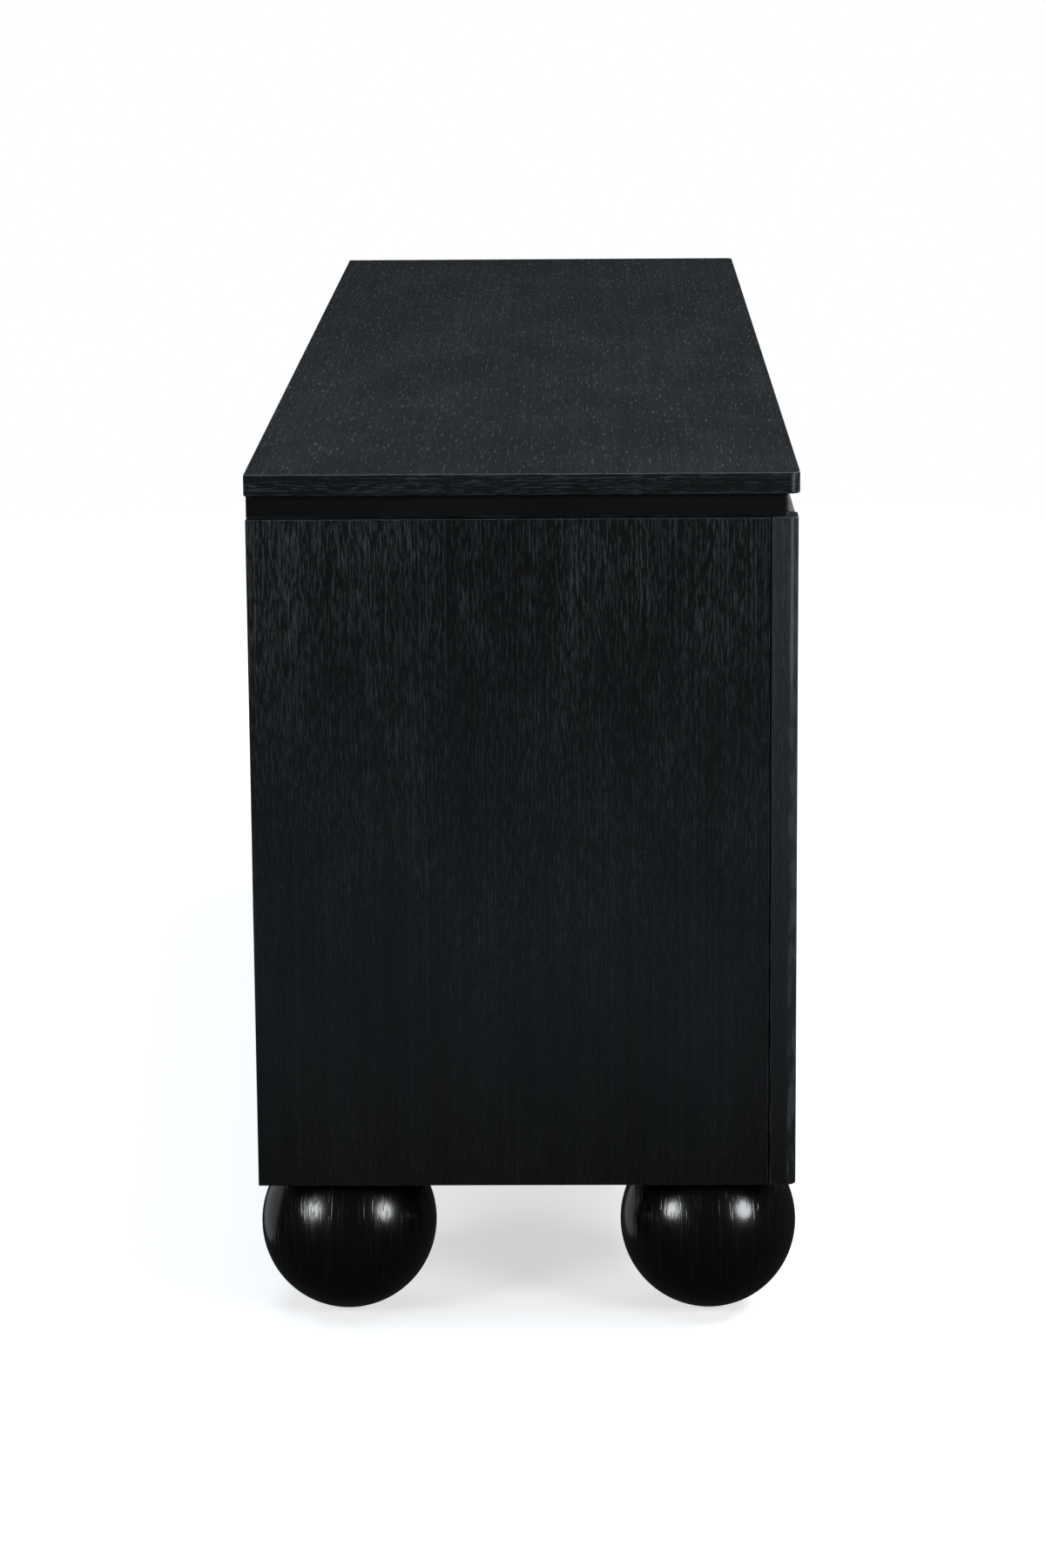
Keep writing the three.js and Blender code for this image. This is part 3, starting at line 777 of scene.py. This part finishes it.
def screwTree():
    maker = Maker("crossHeadScrew", screw)
    given = maker.given
    head = maker.add("GeometryNodeMeshUVSphere",
                     {"Segments": given["Segments"], "Rings": given["Rings"], "Radius": 1.0})
    split = maker.add("ShaderNodeSeparateXYZ", {0: maker.add("GeometryNodeInputPosition").outputs[0]})
    x = maker.math("MULTIPLY", split.outputs[0], given["Head radius"])
    y = maker.math("MULTIPLY", split.outputs[1], given["Head radius"])
    risen = maker.math("MAXIMUM", split.outputs[2], given["Underside"])
    z = maker.math("MULTIPLY", risen, given["Head height"])
    dome = maker.add("GeometryNodeSetPosition",
                     {"Geometry": head.outputs[0], "Position": maker.vector(x, y, z)})
    deep = maker.math("MULTIPLY", given["Slot depth"], 2.0)
    top = maker.vector(0.0, 0.0, given["Head height"])
    slots = maker.add("GeometryNodeMeshBoolean", operation="DIFFERENCE", solver="EXACT")
    maker.tree.links.new(dome.outputs[0], slots.inputs["Mesh 1"])
    for long, wide in (("Slot length", "Slot width"), ("Slot width", "Slot length")):
        bar = maker.add("GeometryNodeMeshCube", {"Size": maker.vector(given[long], given[wide], deep)})
        lifted = maker.add("GeometryNodeTransform", {"Geometry": bar.outputs[0], "Translation": top})
        maker.tree.links.new(lifted.outputs[0], slots.inputs["Mesh 2"])
    facing = maker.add("GeometryNodeInputNamedAttribute", {"Name": "facing"}, data_type="FLOAT_VECTOR")
    aligned = maker.add("FunctionNodeAlignRotationToVector", {"Vector": facing.outputs[0]}, axis="Z")
    spread = maker.add("GeometryNodeInstanceOnPoints", {"Points": given["Geometry"],
                                                        "Instance": slots.outputs[0],
                                                        "Rotation": aligned.outputs[0]})
    spin = maker.add("FunctionNodeRandomValue", {"Seed": given["Seed"], 2: 0.0, 3: math.pi},
                     data_type="FLOAT")
    turned = maker.add("GeometryNodeRotateInstances",
                       {"Instances": spread.outputs[0], "Rotation": maker.vector(0.0, 0.0, spin.outputs[1])})
    return maker.end(turned.outputs[0])


screws = screwTree()


def driven(name, spots, facings, body, slot, finish, sizes):
    base = pointMesh(name + "Spots", spots, facings)
    piece = grown(screws, name, base, finish, {**screw, **sizes}, body, slot)
    piece.data.set_sharp_from_angle(angle=joinery["crease"])
    return piece


def makeSlides():
    caseSpots, caseFacings, cageSpots, cageFacings = [], [], [], []
    for drawer in drawers:
        spots, facings = [], []
        boxLow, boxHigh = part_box(f"{drawer}_box")
        for end, side in (("l", -1), ("r", 1)):
            board(f"{drawer}_case_slide_{end}", "zinc", arris=slide["soften"], steps=2)
            board(f"{drawer}_drawer_slide_{end}", "zinc", arris=slide["soften"], steps=2)
            low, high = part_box(f"{drawer}_drawer_slide_{end}")
            caseLow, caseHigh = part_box(f"{drawer}_case_slide_{end}")
            middle = (low.z + high.z) / 2
            web = low.x + slide["sheet"] if side > 0 else high.x - slide["sheet"]
            caseWeb = caseHigh.x - slide["sheet"] if side > 0 else caseLow.x + slide["sheet"]
            for share in slide["screwPlaces"]:
                along = low.y + share * (high.y - low.y)
                spots.append((web, along, middle))
                facings.append((side, 0, 0))
                caseSpots.append((caseWeb, along, middle))
                caseFacings.append((-side, 0, 0))
            boxSide = boxHigh.x if side > 0 else boxLow.x
            cageAlong = low.y + slide["cagePlace"] * (high.y - low.y)
            cageSpots.append((boxSide + side * slide["cageOut"], cageAlong, middle))
            cageFacings.append((side, 0, 0))
        driven(f"{drawer}_slide_screws", spots, facings, f"{drawer}_drawer", "zinc_steel", "zinc",
               slideScrews)
        frontSpots = []
        for across in frontScrewPlaces["across"]:
            for up in frontScrewPlaces["up"]:
                x = boxLow.x + across * (boxHigh.x - boxLow.x)
                z = boxLow.z + up * (boxHigh.z - boxLow.z)
                frontSpots.append((x, boxLow.y + drawerBox["wall"], z))
        driven(f"{drawer}_front_screws", frontSpots, [(0, 1, 0)] * len(frontSpots), f"{drawer}_drawer",
               "zinc_steel", "zinc", frontScrews)
    driven("case_slide_screws", caseSpots, caseFacings, "case", "zinc_steel", "zinc", caseScrews)
    cages = grown(cageTree(), "ball_cages", pointMesh("cageSpots", cageSpots, cageFacings), "cage", ballCage,
                  "case", "zinc_steel")
    cages.data.set_sharp_from_angle(angle=joinery["crease"])


makeSlides()
print("slides made")


backScrews = {"pitch": 0.14, "inset": 0.011}
backScrewHead = {"Head radius": 0.0038, "Head height": 0.0012, "Slot depth": 0.0009}


def evenly(low, high, pitch):
    count = max(2, round((high - low) / pitch) + 1)
    return [low + (high - low) * i / (count - 1) for i in range(count)]


def makeBackScrews():
    low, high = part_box("back_panel")
    inset = backScrews["inset"]
    pitch = backScrews["pitch"]
    xs = evenly(low.x + inset, high.x - inset, pitch)
    zs = evenly(low.z + inset, high.z - inset, pitch)
    spots = [(x, high.y, z) for x in xs for z in (zs[0], zs[-1])]
    spots += [(x, high.y, z) for x in (xs[0], 0.0, xs[-1]) for z in zs[1:-1]]
    driven("back_screws", spots, [(0, 1, 0)] * len(spots), "case", "back_board", "blackScrew", backScrewHead)


makeBackScrews()
print("back screwed on")


studio = {
    "floorTone": (0.62, 0.62, 0.617, 1),
    "floorFade": (1.7, 3.4),                 # metres from the middle: whole, gone
    "floorRim": 0.4,                         # the floor goes on this far past the fade
    "floorGlow": 0.6,
    "floorRoughness": 0.8,
    "floorGloss": 0.1,
    "backdrop": 1.0,
    "ambient": (0.025, 0.026, 0.027, 1),
    "boxes": [      # each light: spot, aim, width, height, watts, tone, shape
        ((-2.60, 2.40, 1.38), (-0.70, 0.0, 0.30), 1.08, 1.08, 52, (0.95, 0.98, 1.0), "DISK"),
        ((-2.40, -2.25, 1.22), (-0.70, 0.0, 0.30), 1.05, 1.05, 48, (0.95, 0.98, 1.0), "DISK"),
        ((2.9, 2.9, 2.0), (0.3, 0.0, 0.4), 1.6, 1.8, 51, (0.84, 0.94, 1.0), "RECTANGLE"),
        ((2.9, -2.9, 2.0), (0.3, 0.0, 0.4), 1.6, 1.8, 65, (0.84, 0.94, 1.0), "RECTANGLE"),
        ((0.0, 0.0, 4.2), (0.0, 0.0, 0.0), 5.0, 4.0, 164, (0.75, 0.885, 1.0), "RECTANGLE"),
        ((0.2, -2.7, 3.0), (0.0, -0.2, 0.4), 2.4, 1.2, 110, (0.93, 0.97, 1.0), "RECTANGLE"),
        ((1.0, 2.3, -0.05), (-0.7, 0.0, -0.10), 2.3, 2.2, 5.2, (0.93, 0.97, 1.0), "ELLIPSE"),
    ],
    "ledgeLight": ((4.5, -0.45, 1.40), (0.0, -0.22, 0.71), 0.5, 0.8, 1.4, (0.93, 0.97, 1.0), "RECTANGLE"),
    "cornerLight": ((-2.70, -1.75, 0.30), (-0.76, -0.22, 0.60), 1.6, 0.6, 6.0, (0.93, 0.97, 1.0),
                    "RECTANGLE"),
}


def makeFloor():
    bm = bmesh.new()
    near, far = studio["floorFade"]
    reach = far + studio["floorRim"]
    corners = [bm.verts.new((x * reach, y * reach, 0)) for x, y in ((-1, -1), (1, -1), (1, 1), (-1, 1))]
    bm.faces.new(corners)
    floor = bpy.data.objects.new("floor", meshFrom(bm, "floor"))
    bpy.context.scene.collection.objects.link(floor)
    material, tree, surface = newMaterial("paleFloor")
    surface.inputs["Base Color"].default_value = studio["floorTone"]
    surface.inputs["Roughness"].default_value = studio["floorRoughness"]
    surface.inputs["Specular IOR Level"].default_value = studio["floorGloss"]
    place = tree.add("ShaderNodeTexCoord").outputs["Object"]
    away = tree.add("ShaderNodeVectorMath", {0: place}, operation="LENGTH").outputs["Value"]
    joinUp(tree, surface, Alpha=tree.remap(away, near, far, 1.0, 0.0))
    surface.inputs["Emission Color"].default_value = (1, 1, 1, 1)
    surface.inputs["Emission Strength"].default_value = studio["floorGlow"]
    floor.data.materials.append(material)
    floor.visible_glossy = False
    floor.visible_diffuse = False


def softbox(name, spot, aim, width, height, watts, tone, shape):
    data = bpy.data.lights.new(name, "AREA")
    data.shape = shape
    data.color = tone
    data.size = width
    data.size_y = height
    data.energy = watts
    light = bpy.data.objects.new(name, data)
    light.location = spot
    light.rotation_euler = (Vector(aim) - Vector(spot)).to_track_quat("-Z", "Y").to_euler()
    light.visible_camera = False
    bpy.context.scene.collection.objects.link(light)
    return light


def makeStudio():
    makeFloor()
    for number, settings in enumerate(studio["boxes"]):
        softbox(f"softbox{number}", *settings)
    softbox("ledgeLight", *studio["ledgeLight"]).light_linking.receiver_collection = ledged
    softbox("cornerLight", *studio["cornerLight"]).light_linking.receiver_collection = cornered
    world = bpy.data.worlds.new("studio")
    world.use_nodes = True
    world.node_tree.nodes.clear()
    tree = Tree(world.node_tree)
    seen = tree.add("ShaderNodeLightPath").outputs["Is Camera Ray"]
    tone = tree.blend(seen, studio["ambient"], (studio["backdrop"],) * 3 + (1,))
    glow = tree.add("ShaderNodeBackground", {"Color": tone})
    tree.add("ShaderNodeOutputWorld", {"Surface": glow.outputs[0]})
    bpy.context.scene.world = world
    bpy.context.scene.view_settings.view_transform = "Standard"


makeStudio()
print("studio lit")
